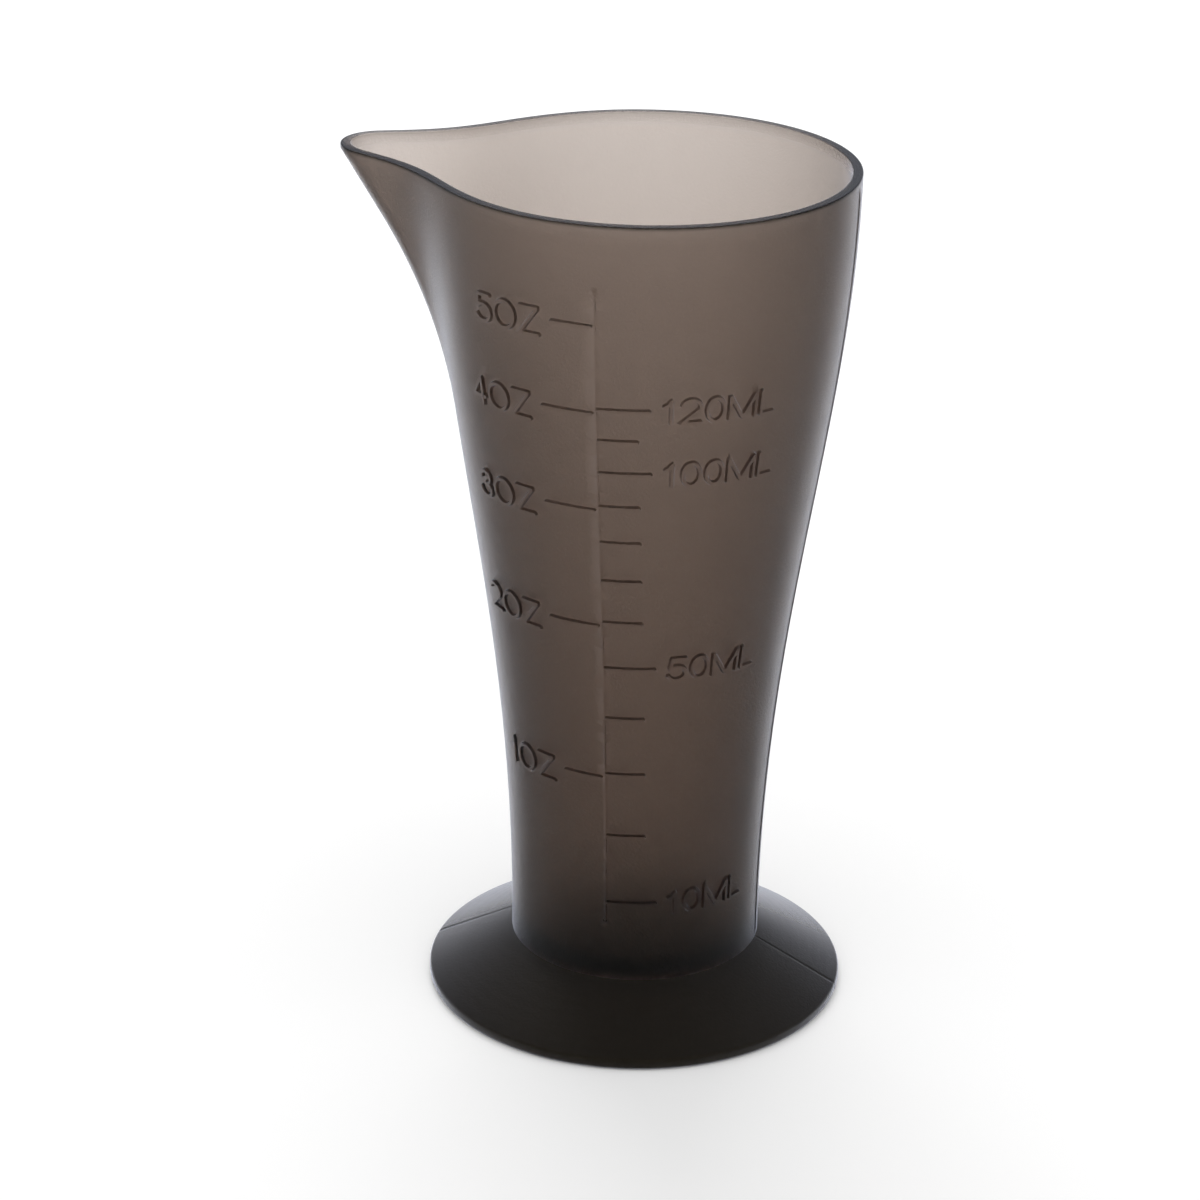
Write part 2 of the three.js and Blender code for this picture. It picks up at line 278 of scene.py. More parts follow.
def smoke_polypropylene(name, skin, is_vessel):
    """Polypropylene with a smoke dye, moulded in a spark-eroded mould.

    The eye sees a dark brown body that lets light through without a clear view, a fine frosted grain
    outside, and a cool haze where the skin is seen at a glancing angle. The vessel also has a milky inside,
    a smoother rim and a shade painted on the rim's outer edge, and the foot has faint rings.
    """
    plastic = bpy.context.scene.cup_plastic
    material = bpy.data.materials.new(name)
    add = partial(add_node, empty_tree(material))
    place = add("ShaderNodeTexCoord")["Object"]
    height = add(
        "ShaderNodeTexNoise", {"Vector": place, "Scale": 1 / GRAIN_WIDTH, "Detail": 2.0, "Roughness": 0.6}
    )["Fac"]
    # A frosted skin turns glossy at a glancing angle
    facing = add("ShaderNodeLayerWeight", {"Blend": 0.5})["Facing"]
    gloss = add(
        "ShaderNodeMapRange", {"Value": facing, "From Min": 0.5, "From Max": 0.8, "To Max": 0.62},
        interpolation_type="SMOOTHSTEP",
    )["Result"]
    if is_vessel:
        polish, core, shade = (add("ShaderNodeAttribute", attribute_name=key)["Fac"] for key in FINISHES_AND_PAINTED_SHADE)
        gloss = add("ShaderNodeMath", {0: polish, 1: gloss}, operation="MAXIMUM")[0]
        # The smoother rim and marks hardly have the grain
        dull = add("ShaderNodeMapRange", {"Value": polish, "To Min": 1.0, "To Max": 0.15})["Result"]
        # The inside is milky
        clear = add(
            "ShaderNodeMapRange", {"Value": core, "To Min": skin.clearness, "To Max": 1 - plastic.milk_share}
        )["Result"]
        tone = add("ShaderNodeMix", {0: core, 6: skin.frost, 7: plastic.milk}, data_type="RGBA")[2]
        # Painted shade: the rim's outer edge gets a dark base colour, which stands in for the light that runs
        # down inside the wall and is lost
        tone = add("ShaderNodeMix", {0: shade, 6: tone, 7: plastic.rim_shade}, data_type="RGBA")[2]
    else:
        dull, clear, tone = 1.0, skin.clearness, skin.frost
        # The melt ran outwards in uneven rings
        centred = add("ShaderNodeMapping", {"Vector": place, "Location": (-AXIS_X, 0, 0)})[0]
        rings = add(
            "ShaderNodeTexWave",
            {"Vector": centred, "Scale": WAVE_LENGTH / FLOW_RING_SPACING, "Distortion": 5.0, "Detail": 2.0,
             "Detail Scale": 0.6},
            wave_type="RINGS", rings_direction="Z",
        )["Fac"]
        height = add(
            "ShaderNodeMath", {0: rings, 1: FLOW_RING_SHARE, 2: height}, operation="MULTIPLY_ADD"
        )[0]
    rough = add(
        "ShaderNodeMapRange", {"Value": gloss, "To Min": skin.roughness, "To Max": plastic.polished}
    )["Result"]
    bump = add("ShaderNodeBump", {"Strength": dull, "Distance": skin.grain, "Height": height})["Normal"]
    surface = add(
        "ShaderNodeBsdfPrincipled",
        {
            "Base Color": tone,
            "Roughness": rough,
            "IOR": 1.49,
            "Normal": bump,
            "Transmission Weight": clear,
            "Specular IOR Level": 0.2,
            "Specular Tint": skin.gleam,
            "Sheen Weight": 1.0,
            "Sheen Roughness": skin.haze_spread,
            "Sheen Tint": skin.haze,
        },
    )[0]
    smoke = add("ShaderNodeVolumeAbsorption", {"Color": plastic.smoke, "Density": skin.density})[0]
    add("ShaderNodeOutputMaterial", {"Surface": surface, "Volume": smoke}, target="ALL")
    return material


def floor_paper(name):
    """Seamless paper: evenly matt, and white where no shadow falls."""
    material = bpy.data.materials.new(name)
    add = partial(add_node, empty_tree(material))
    paper = add("ShaderNodeBsdfDiffuse", {"Color": bpy.context.scene.cup_stage.floor})[0]
    add("ShaderNodeOutputMaterial", {"Surface": paper})
    return material


# Vessel

# Fineness of the wall's curve, and of the volume that is summed up from it
CURVE_STEPS = 4000
VOLUME_TURNS = 360
VOLUME_LEVELS = 400


class CupShape:
    """The rule of the vessel's shape: a round S-curved wall and a beak that grows out of it."""

    def __init__(self, scene):
        self.wall = scene.cup_wall
        self.lip = scene.cup_lip
        self.base = scene.cup_floor
        wall = self.wall
        t = np.linspace(0, 1, CURVE_STEPS + 1)
        weights = [(1 - t) ** 3, 3 * t * (1 - t) ** 2, 3 * t**2 * (1 - t), t**3]
        radii = [wall.stem_radius, wall.stem_radius - wall.low_lean]
        radii += [wall.rim_radius - wall.top_lean, wall.rim_radius]
        levels = [wall.crease, wall.crease + wall.low_rise, wall.height - wall.top_drop, wall.height]
        self.curve_radius = sum(w * r for w, r in zip(weights, radii))
        self.curve_level = sum(w * z for w, z in zip(weights, levels))
        self.floor_level = wall.crease + self.base.floor_rise
        self.rim_shoulder = wall.height - wall.rim_rise

    def wall_radius(self, level):
        """Outside radius of the round wall, without the lip."""
        return np.interp(level, self.curve_level, self.curve_radius)

    def cavity_inset(self, level):
        """Thickness of the wall, and the round above the floor."""
        fillet = self.base.fillet
        along = (level - self.floor_level) / (self.wall.height - self.floor_level)
        thickness = self.wall.stem_wall + (self.wall.rim_wall - self.wall.stem_wall) * along
        drop = np.clip(self.floor_level + fillet - level, 0, fillet)
        return thickness + fillet - np.sqrt(fillet**2 - drop**2)

    def beak_radius(self, turn, centre, tip):
        """Distance from the axis to the beak's outline: a round tip, then straight sides that fade out."""
        half = self.lip.half_angle
        centre = np.maximum(centre, 1e-9)
        off = np.abs(np.arctan2(np.sin(turn), np.cos(turn)))
        tangent = np.arctan2(tip * math.cos(half), centre + tip * math.sin(half))
        across = centre * np.sin(off)
        cap = centre * np.cos(off) + np.sqrt(np.maximum(tip**2 - across**2, 0))
        closest = tip + centre * math.sin(half)
        bearing = np.sin(off + half)
        ahead = closest / np.maximum(bearing, 1e-3)
        side = np.where(off + half < math.pi / 2, ahead, closest * np.maximum(bearing, 0))
        return np.where(off < tangent, cap, side)

    def radius(self, turn, level, inset):
        """Radius of the wall with its lip, moved inwards by an inset. The turn is counted from the lip."""
        lip = self.lip
        centre = lip.reach - lip.tip_radius - (self.wall.height - level) * math.tan(lip.keel_lean)
        beak = np.where(centre > 0, self.beak_radius(turn, centre, lip.tip_radius - inset), 0)
        round_wall = self.wall_radius(level) - inset
        near = np.maximum(lip.blend - np.abs(round_wall - beak), 0) / lip.blend
        return np.maximum(round_wall, beak) + near**2 * lip.blend / 4

    def points(self, turn, level, inset):
        """Points of the shell, which rises a little where the lip stands out from the round."""
        turn, level, inset = np.broadcast_arrays(turn, level, inset)
        radius = self.radius(turn, level, inset)
        slope = self.lip.rise / (self.lip.reach - self.wall.rim_radius)
        lift = (radius - (self.wall_radius(level) - inset)) * slope
        return np.stack([AXIS_X - radius * np.cos(turn), -radius * np.sin(turn), level + lift], -1)

    def level_of(self, volumes):
        """Levels at which the cavity holds the given volumes."""
        turn = np.linspace(0, 2 * math.pi, VOLUME_TURNS + 1)
        levels = np.linspace(self.floor_level, self.rim_shoulder, VOLUME_LEVELS)
        radii = self.radius(turn[None, :], levels[:, None], self.cavity_inset(levels)[:, None])
        areas = (radii[:, :-1] ** 2).mean(1) * math.pi
        steps = (areas[1:] + areas[:-1]) / 2 * np.diff(levels)
        return np.interp(volumes, np.concatenate([[0], np.cumsum(steps)]), levels)


# Degrees between points of a bent stroke, and the fewest steps that it has
ARC_STEP = 9
ARC_LEAST = 4


def arc(centre_x, centre_y, radius_x, radius_y, start, end):
    """Points of a stroke that bends from one bearing to another, in degrees."""
    count = max(int(abs(end - start) / ARC_STEP), ARC_LEAST)
    bearings = np.radians(np.linspace(start, end, count + 1))
    return [(centre_x + radius_x * math.cos(b), centre_y + radius_y * math.sin(b)) for b in bearings]


# Plain strokes of the numerals and unit letters, in a box of 1 by 1, with each box's width against its height
GLYPHS = {
    "0": (0.70, [arc(0.5, 0.5, 0.5, 0.5, 90, -270)]),
    "1": (0.42, [[(0.0, 0.74), (0.36, 0.83), (0.62, 1.0), (0.62, 0.0)]]),
    "2": (0.77, [arc(0.5, 0.7, 0.48, 0.3, 165, -25) + [(0.0, 0.0), (1.0, 0.0)]]),
    "3": (0.68, [arc(0.46, 0.755, 0.42, 0.245, 180, -84), arc(0.46, 0.265, 0.52, 0.265, 86, -180)]),
    "4": (0.70, [[(0.76, 0.0), (0.76, 1.0), (0.0, 0.3), (1.0, 0.3)]]),
    "5": (0.70, [[(0.95, 1.0), (0.16, 1.0), (0.06, 0.5)] + arc(0.46, 0.32, 0.54, 0.32, 112, -155)]),
    "O": (0.92, [arc(0.5, 0.5, 0.5, 0.5, 90, -270)]),
    "Z": (0.78, [[(0.03, 1.0), (1.0, 1.0), (0.0, 0.0), (1.0, 0.0)]]),
    "M": (1.15, [[(0.0, 0.0), (0.0, 1.0), (0.5, 0.02), (1.0, 1.0), (1.0, 0.0)]]),
    "L": (0.64, [[(0.0, 1.0), (0.0, 0.0), (1.0, 0.0)]]),
}
ML_STEP = 10
ML_LAST = 120
LONG_MARKS = (10, 50, 100, 120)
ML_PER_OUNCE = 30
OUNCE_LAST = 5
SCALE_TURN = math.pi / 2
# The outside is unrolled at this radius
FLAT_RADIUS = 24 * MM
STROKE_STEP = 0.22 * MM
LEAST_STEP_SHARE = 0.3
END_BEARINGS = np.radians(np.linspace(-60, 60, 5))
SPINE_STEP = STROKE_STEP * 1.6
SPINE_PATCHES = 60
SPINE_SEED = 7
SPINE_WEAR = (0.1, 1.3)
END_DOT_HALF = 0.15 * MM
END_DOT_RELIEF = 0.8
# Widths along each kind of line, against the stroke
LETTER_WIDTHS = (0.95,)
ML_TICK_WIDTHS = (0.75, 1)
OUNCE_TICK_WIDTHS = (1.2, 1, 0.6)
SPINE_WIDTHS = (0.55,)
END_DOT_WIDTHS = (1.15,)


class Stroke:
    """A line of the scale in arc and level, with its half width and height at each point."""

    def __init__(self, shape, line, half, widths, heights, step=STROKE_STEP):
        line = np.array(line, float)
        run = np.concatenate([[0], np.cumsum(np.linalg.norm(np.diff(line, axis=0), axis=1))])
        count = max(int(math.ceil(run[-1] / step)), 1)
        at = np.unique(np.concatenate([np.linspace(0, run[-1], count + 1), run]))
        keep = np.concatenate([[True], np.diff(at) > step * LEAST_STEP_SHARE])
        at = at[keep]
        along = at / max(run[-1], 1e-9)
        self.line = np.stack([np.interp(at, run, line[:, 0]), np.interp(at, run, line[:, 1])], -1)
        self.half = np.interp(along, np.linspace(0, 1, len(widths)), np.multiply(half, widths))
        self.height = np.interp(along, np.linspace(0, 1, len(heights)), heights)
        # A mark that runs across the wall is bent about one radius, and an upright one follows the wall
        is_upright = np.ptp(line[:, 0]) < 1e-6
        middle = (line[:, 1].min() + line[:, 1].max()) / 2
        levels = self.line[:, 1] if is_upright else np.full(len(at), middle)
        self.radius = shape.wall_radius(levels)

    def unrolled(self, reach):
        """Points on the line, or round it at a share of its half width, on the unrolled wall."""
        if not reach:
            return np.stack([self.line[:, 0] * FLAT_RADIUS / self.radius, self.line[:, 1]], -1)
        along = np.gradient(self.line, axis=0)
        along /= np.linalg.norm(along, axis=1)[:, None]
        across = np.stack([-along[:, 1], along[:, 0]], -1)
        spread = (self.half * reach)[:, None]
        rows = [self.line + across * spread, self.line - across * spread]
        radii = [self.radius, self.radius]
        for end, outward in ((0, -along[0]), (-1, along[-1])):
            cap = np.outer(np.cos(END_BEARINGS), outward) + np.outer(np.sin(END_BEARINGS), across[end])
            rows.append(self.line[end] + cap * spread[end])
            radii.append(np.full(len(cap), self.radius[end]))
        points, radii = np.concatenate(rows), np.concatenate(radii)
        return np.stack([points[:, 0] * FLAT_RADIUS / radii, points[:, 1]], -1)


def scale_strokes(shape, sizes):
    """All lines of the scale: ticks, their labels and the spine."""
    half = sizes.stroke / 2
    strokes = []

    def label(text, start, level, tall):
        for letter in text:
            width, lines = GLYPHS[letter]
            for line in lines:
                placed = [(start + half + x * width * tall, level + (y - 0.5) * tall) for x, y in line]
                strokes.append(Stroke(shape, placed, half, LETTER_WIDTHS, [sizes.relief]))
            start += width * tall + sizes.stroke + sizes.letter_gap

    def label_width(text, tall):
        widths = [GLYPHS[letter][0] * tall + sizes.stroke for letter in text]
        return sum(widths) + sizes.letter_gap * (len(text) - 1)

    ml_tall = sizes.letter_height - sizes.stroke
    marks = np.arange(ML_STEP, ML_LAST + 1, ML_STEP)
    for ml, level in zip(marks, shape.level_of(marks * ML)):
        reach = sizes.long_tick if ml in LONG_MARKS else sizes.short_tick
        line = [(sizes.tick_gap, level), (reach, level)]
        strokes.append(Stroke(shape, line, half, ML_TICK_WIDTHS, [sizes.relief]))
        if ml in LONG_MARKS:
            label(f"{ml}ML", reach + sizes.label_gap, level, ml_tall)

    ounce_tall = sizes.letter_height * sizes.ounce_letters - sizes.stroke
    ounces = np.arange(1, OUNCE_LAST + 1)
    for ounce, level in zip(ounces, shape.level_of(ounces * ML_PER_OUNCE * ML) - sizes.ounce_drop):
        is_end = ounce in (1, OUNCE_LAST)
        reach = sizes.ounce_gap + (sizes.short_tick if is_end else sizes.long_tick)
        line = [(-reach, level), (-sizes.ounce_gap, level)]
        strokes.append(Stroke(shape, line, half, OUNCE_TICK_WIDTHS, [sizes.relief]))
        text = f"{ounce}OZ"
        start = -reach - sizes.label_gap - label_width(text, ounce_tall)
        label(text, start, level - sizes.ounce_label_drop, ounce_tall)

    # The spine is worn in patches, and ends in a dot at either end
    bottom = shape.level_of(ML_STEP * ML) - sizes.spine_below
    top = shape.wall.height - sizes.spine_drop
    patches = np.random.default_rng(SPINE_SEED).uniform(*SPINE_WEAR, SPINE_PATCHES) * sizes.spine_relief
    strokes.append(Stroke(shape, [(0, bottom), (0, top)], half, SPINE_WIDTHS, patches, SPINE_STEP))
    for level in (bottom, top):
        dot = [(0, level - END_DOT_HALF), (0, level + END_DOT_HALF)]
        strokes.append(Stroke(shape, dot, half, END_DOT_WIDTHS, [sizes.relief * END_DOT_RELIEF]))
    return strokes


# A mark is flat up to the first share of its half width, and meets the wall at the second.
# Its polish ends at the third.
FLAT_SHARE = 0.72
FOOT_SHARE = 1.28
FADE_SHARE = 2.8
# Least gaps between points on the outside: on marks, round them, and from them to the plain wall's points
MARK_POINT_GAP = 0.075 * MM
FADE_POINT_GAP = 0.3 * MM
WALL_POINT_GAP = 0.55 * MM
# Side of the cells that are searched for near points
CELL = 0.5 * MM
WALL_ROWS = 84
CAVITY_ROWS = 64
EDGE_STEPS = 7
EDGE_SUPPORT = 1.3
FILLET_STEPS = 8
FLOOR_RINGS = (0.75, 0.5, 0.25, 0.08)
UNDERSIDE_RINGS = (0.1, 0.55, 1)
MERGE_GAP = 0.002 * MM
# A point this close to the wall's first or last row is on it
ROW_SLACK = 0.1 * MM
PARTING_HALF_TURNS = (math.radians(0.55), math.radians(0.6))
PARTING_DEPTH = 0.1 * MM
PARTING_RIDGE = 0.15 * MM
MILK_FADE = 22 * MM
INSIDE_POLISH = 0.4
# Share of the rim's painted shade on the wall's top row and the rim's shoulder, where it fades out
RIM_SHOULDER_PAINTED_SHADE = 0.25


class Thinner:
    """Keeps points that lie no closer together than a given distance."""

    def __init__(self):
        self.cells = {}
        self.kept = []

    def add(self, points, apart):
        for x, y in points:
            home = (int(x // CELL), int(y // CELL))
            near = (
                p
                for i in (-1, 0, 1)
                for j in (-1, 0, 1)
                for p in self.cells.get((home[0] + i, home[1] + j), ())
            )
            if all((p[0] - x) ** 2 + (p[1] - y) ** 2 >= apart**2 for p in near):
                self.cells.setdefault(home, []).append((x, y))
                self.kept.append((x, y))


# Start, end and step of the vessel's columns, in degrees from the lip
COLUMN_SPANS = (
    (-90, -48, 2.4), (-48, -22, 1.3), (-22, -1.2, 0.65), (1.2, 22, 0.65), (22, 48, 1.3), (48, 178.8, 2.4),
    (181.2, 270, 2.4),
)


def column_turns():
    """Angles of the vessel's columns, from the back round to the back, finer at the lip and parting lines."""
    turns = []
    for start, end, step in COLUMN_SPANS:
        turns.extend(np.linspace(start, end, int(round((end - start) / step)) + 1))
    for middle, half in zip((0, 180), np.degrees(PARTING_HALF_TURNS)):
        turns.extend(middle + half * part for part in (-1, -0.5, 0, 0.5, 1))
    return np.radians(sorted(set(np.round(turns, 4))))


def outer_wall(strokes, turns, levels):
    """Triangles of the unrolled outside, fine along the strokes, as turns, levels and faces."""
    thinner = Thinner()
    for reach in (0, FLAT_SHARE, FOOT_SHARE):
        for stroke in strokes:
            thinner.add(stroke.unrolled(reach), MARK_POINT_GAP)
    for stroke in strokes:
        thinner.add(stroke.unrolled(FADE_SHARE)[::2], FADE_POINT_GAP)
    tree = KDTree(len(thinner.kept))
    for i, (x, y) in enumerate(thinner.kept):
        tree.insert((x, y, 0), i)
    tree.balance()
    flat = list(thinner.kept)
    for turn in turns:
        x = (turn - SCALE_TURN) * FLAT_RADIUS
        for level in levels:
            if tree.find((x, level, 0))[2] > WALL_POINT_GAP:
                flat.append((x, level))
    found = delaunay_2d_cdt([Vector((x / MM, y / MM)) for x, y in flat], [], [], 0, 1e-6)
    verts = np.array([v[:] for v in found[0]]) * MM
    return verts[:, 0] / FLAT_RADIUS + SCALE_TURN, verts[:, 1], found[2]


class ClosedSkin:
    """Gathers points, faces and, at each point, the finish and the shade painted on the rim, mostly ring by
    ring, into one closed mesh.
    """

    def __init__(self, turns):
        self.turns = turns
        self.count = 0
        self.points = []
        self.faces = []
        self.finish = {name: [] for name in FINISHES_AND_PAINTED_SHADE}
        self.last = None

    def add(self, points, **finish):
        """Adds points and returns the number of the first."""
        first = self.count
        self.count += len(points)
        self.points.append(points)
        for name, values in self.finish.items():
            values.append(np.broadcast_to(np.asarray(finish.get(name, 0.0), float), (len(points),)))
        return first

    def ring(self, points, **finish):
        """Adds a ring, and closes the strip between it and the last one."""
        first = self.add(points, **finish)
        if self.last is not None:
            count = len(self.turns)
            for i in range(count):
                j = (i + 1) % count
                self.faces.append((self.last + i, self.last + j, first + j, first + i))
        self.last = first

    def round_ring(self, radius, level):
        """Adds a round ring about the cup's axis."""
        x, y = AXIS_X - radius * np.cos(self.turns), -radius * np.sin(self.turns)
        self.ring(np.stack([x, y, np.full(len(self.turns), level)], -1), polish=INSIDE_POLISH)

    def cap(self, level, is_floor):
        """Closes the last ring with a fan to a point on the axis."""
        pole = self.add(np.array([[AXIS_X, 0, level]]), polish=INSIDE_POLISH)
        count = len(self.turns)
        for i in range(count):
            near, far = self.last + i, self.last + (i + 1) % count
            self.faces.append((near, far, pole) if is_floor else (far, near, pole))

    def mesh(self, name):
        """The gathered skin as a mesh, merged, turned outwards and tested for holes."""
        mesh = bpy.data.meshes.new(name)
        mesh.from_pydata(np.concatenate(self.points).tolist(), [], self.faces)
        for key, values in self.finish.items():
            attribute = mesh.attributes.new(key, "FLOAT", "POINT")
            attribute.data.foreach_set("value", np.concatenate(values).astype(np.float32))
        skin = bmesh.new()
        skin.from_mesh(mesh)
        bmesh.ops.remove_doubles(skin, verts=skin.verts, dist=MERGE_GAP)
        bmesh.ops.recalc_face_normals(skin, faces=skin.faces)
        skin.to_mesh(mesh)
        open_edges = sum(1 for edge in skin.edges if not edge.is_manifold)
        skin.free()
        if open_edges:
            raise RuntimeError(f"{name} has {open_edges} open edges")
        return mesh


def rim_rings(wall, inner):
    """Rings over the rim from outside to inside, each as rise, inset, polish and the shade painted on the
    outer edge.
    """
    round_off = wall.rim_edge
    rings = [(0.0, 0.0, 0.0, RIM_SHOULDER_PAINTED_SHADE)]
    bends = np.linspace(0, math.pi / 2, EDGE_STEPS)
    edge = [(wall.rim_rise - round_off * (1 - math.sin(b)), round_off * (1 - math.cos(b))) for b in bends]
    # The rounded outer edge gets the full painted shade, which fades out over the flat top
    rings.extend((rise, inset, math.sin(b), 1.0) for b, (rise, inset) in zip(bends, edge))
    # Two rings beside the rounded edges keep the shading of the top flat
    rings.append((wall.rim_rise, round_off * EDGE_SUPPORT, 1.0, 1.0))
    rings.append((wall.rim_rise, inner - round_off * EDGE_SUPPORT, 1.0, 0.0))
    rings.extend((rise, inner - inset, 1.0, 0.0) for rise, inset in reversed(edge))
    rings.append((0.0, inner, 1.0, 0.0))
    return rings


def vessel_mesh(shape, strokes):
    """The vessel as one closed skin, with a polish, a milky core and a shade painted on the rim's outer edge,
    at each point.
    """
    wall, base = shape.wall, shape.base
    turns = column_turns()
    skin = ClosedSkin(turns[:-1])

    # Outside, with the parting line as a fine groove at the lip and a fine ridge opposite to it
    levels = np.linspace(wall.crease, shape.rim_shoulder, WALL_ROWS)
    turn, level, wall_faces = outer_wall(strokes, turns, levels)
    outside = shape.points(turn, level, 0.0)
    between = (level > levels[0] + ROW_SLACK) & (level < levels[-1] - ROW_SLACK)
    groove = np.maximum(1 - np.abs(turn) / PARTING_HALF_TURNS[0], 0)
    ridge = np.maximum(1 - np.abs(turn - math.pi) / PARTING_HALF_TURNS[1], 0)
    depth = (PARTING_DEPTH * groove - PARTING_RIDGE * ridge) * between
    outside[:, 0] += np.cos(turn) * depth
    outside[:, 1] += np.sin(turn) * depth
    # The wall's top row gets a little of the rim's painted shade
    start = skin.add(outside, shade=RIM_SHOULDER_PAINTED_SHADE * (level > levels[-1] - ROW_SLACK))
    skin.faces.extend(tuple(start + v for v in face) for face in wall_faces)

    # Rim, inside and floor, as rings from the outer edge of the rim to the middle of the floor
    for rise, inset, polish, shade in rim_rings(wall, float(shape.cavity_inset(shape.rim_shoulder))):
        ring = shape.points(skin.turns, shape.rim_shoulder, inset)
        ring[:, 2] += rise
        skin.ring(ring, polish=polish, shade=shade)
    fillet_top = shape.floor_level + base.fillet
    for low in np.linspace(shape.rim_shoulder, fillet_top, CAVITY_ROWS)[1:]:
        milky = np.clip((low - fillet_top) / MILK_FADE, 0, 1)
        skin.ring(shape.points(skin.turns, low, shape.cavity_inset(low)), polish=INSIDE_POLISH, core=milky)
    for bend in np.linspace(0, math.pi / 2, FILLET_STEPS)[1:]:
        low = shape.floor_level + base.fillet * (1 - math.sin(bend))
        skin.ring(shape.points(skin.turns, low, shape.cavity_inset(low)), polish=INSIDE_POLISH)
    floor_radius = float(shape.wall_radius(shape.floor_level) - shape.cavity_inset(shape.floor_level))
    for part in FLOOR_RINGS:
        skin.round_ring(floor_radius * part, shape.floor_level)
    skin.cap(shape.floor_level, True)

    # Underside and spigot, as rings from the middle of the underside to the crease
    spigot_radius = wall.stem_radius - base.shoulder
    bore = spigot_radius - base.spigot_wall
    underside = shape.floor_level - base.floor_thickness
    spigot_end = wall.crease - base.spigot_length
    skin.last = None
    skin.round_ring(bore * UNDERSIDE_RINGS[0], underside)
    skin.cap(underside, False)
    corners = [(bore * part, underside) for part in UNDERSIDE_RINGS[1:]]
    corners += [(bore, spigot_end), (spigot_radius, spigot_end)]
    corners += [(spigot_radius, wall.crease), (wall.stem_radius, wall.crease)]
    for radius, low in corners:
        skin.round_ring(radius, low)
    return skin.mesh("vessel")


def stroke_net(shape, strokes):
    """The strokes as lines on the wall, each point with its half width and height."""
    points, edges, half, height = [], [], [], []
    for stroke in strokes:
        first = len(points)
        turn = stroke.line[:, 0] / stroke.radius + SCALE_TURN
        points.extend(shape.points(turn, stroke.line[:, 1], 0.0).tolist())
        edges.extend((first + i, first + i + 1) for i in range(len(turn) - 1))
        half.extend(stroke.half)
        height.extend(stroke.height)
    mesh = bpy.data.meshes.new("scale_strokes")
    mesh.from_pydata(points, edges, [])
    for name, values in (("half_width", half), ("height", height)):
        mesh.attributes.new(name, "FLOAT", "POINT").data.foreach_set("value", np.array(values, np.float32))
    return mesh


def new_tree(name, inputs):
    """A Geometry Nodes tree with named inputs, each given with the kind of its socket, and one output."""
    tree = bpy.data.node_groups.new(name, "GeometryNodeTree")
    for key, kind in inputs.items():
        tree.interface.new_socket(key, in_out="INPUT", socket_type=f"NodeSocket{kind}")
    tree.interface.new_socket("Piece", in_out="OUTPUT", socket_type="NodeSocketGeometry")
    return tree


def close_tree(add, geometry, material):
    """Ends a tree: makes its geometry real and gives it its material."""
    real = add("GeometryNodeRealizeInstances", {"Geometry": geometry})[0]
    coated = add("GeometryNodeSetMaterial", {"Geometry": real, "Material": material})[0]
    add("NodeGroupOutput", {0: coated})


def raised_scale_tree(material):
    """Geometry Nodes: lifts the wall along the strokes, flat on top and rounded at the sides."""
    shares = dict.fromkeys(("Flat Share", "Foot Share", "Fade Share", "Mark Polish"), "Float")
    tree = new_tree("raised_scale", {"Wall": "Geometry", "Strokes": "Object", **shares})
    add = partial(add_node, tree)
    given = add("NodeGroupInput")
    lines = add("GeometryNodeObjectInfo", {"Object": given["Strokes"]})["Geometry"]
    away = add("GeometryNodeProximity", {0: lines}, target_element="EDGES")["Distance"]
    nearest = add("GeometryNodeSampleNearest", {0: lines}, domain="POINT")["Index"]
    found = {}
    for name in ("half_width", "height"):
        value = add("GeometryNodeInputNamedAttribute", {"Name": name}, data_type="FLOAT")[0]
        found[name] = add(
            "GeometryNodeSampleIndex", {"Geometry": lines, "Value": value, "Index": nearest},
            data_type="FLOAT", domain="POINT",
        )[0]
    ratio = add("ShaderNodeMath", {0: away, 1: found["half_width"]}, operation="DIVIDE")[0]
    bulge = add(
        "ShaderNodeMapRange",
        {"Value": ratio, "From Min": given["Flat Share"], "From Max": given["Foot Share"], "To Min": 1.0,
         "To Max": 0.0},
        interpolation_type="SMOOTHSTEP",
    )["Result"]
    lift = add("ShaderNodeMath", {0: bulge, 1: found["height"]}, operation="MULTIPLY")[0]
    normal = add("GeometryNodeInputNormal")[0]
    offset = add("ShaderNodeVectorMath", {0: normal, "Scale": lift}, operation="SCALE")[0]
    raised = add("GeometryNodeSetPosition", {"Geometry": given["Wall"], "Offset": offset})[0]
    # The marks were cut into the mould, so they come out smoother than the spark-eroded wall
    shine = add(
        "ShaderNodeMapRange",
        {"Value": ratio, "From Min": given["Foot Share"], "From Max": given["Fade Share"],
         "To Min": given["Mark Polish"], "To Max": 0.0},
    )["Result"]
    wall_shine = add("GeometryNodeInputNamedAttribute", {"Name": "polish"}, data_type="FLOAT")[0]
    polish = add("ShaderNodeMath", {0: shine, 1: wall_shine}, operation="MAXIMUM")[0]
    finished = add(
        "GeometryNodeStoreNamedAttribute", {"Geometry": raised, "Name": "polish", "Value": polish},
        data_type="FLOAT", domain="POINT",
    )[0]
    close_tree(add, finished, material)
    return tree


SHARP_ANGLE = math.radians(62)


def grow(name, mesh, tree, values):
    """Runs a Geometry Nodes tree on a mesh and returns the result as a plain piece."""
    piece = add_piece(name, mesh)
    modifier = piece.modifiers.new(tree.name, "NODES")
    modifier.node_group = tree
    for socket in tree.interface.items_tree:
        if socket.in_out == "INPUT" and socket.name in values:
            modifier[socket.identifier] = values[socket.name]
    piece.update_tag()
    graph = bpy.context.evaluated_depsgraph_get()
    made = bpy.data.meshes.new_from_object(piece.evaluated_get(graph))
    made.name = name
    piece.modifiers.remove(modifier)
    piece.data = made
    for face in made.polygons:
        face.use_smooth = True
    made.set_sharp_from_angle(angle=SHARP_ANGLE)
    return piece


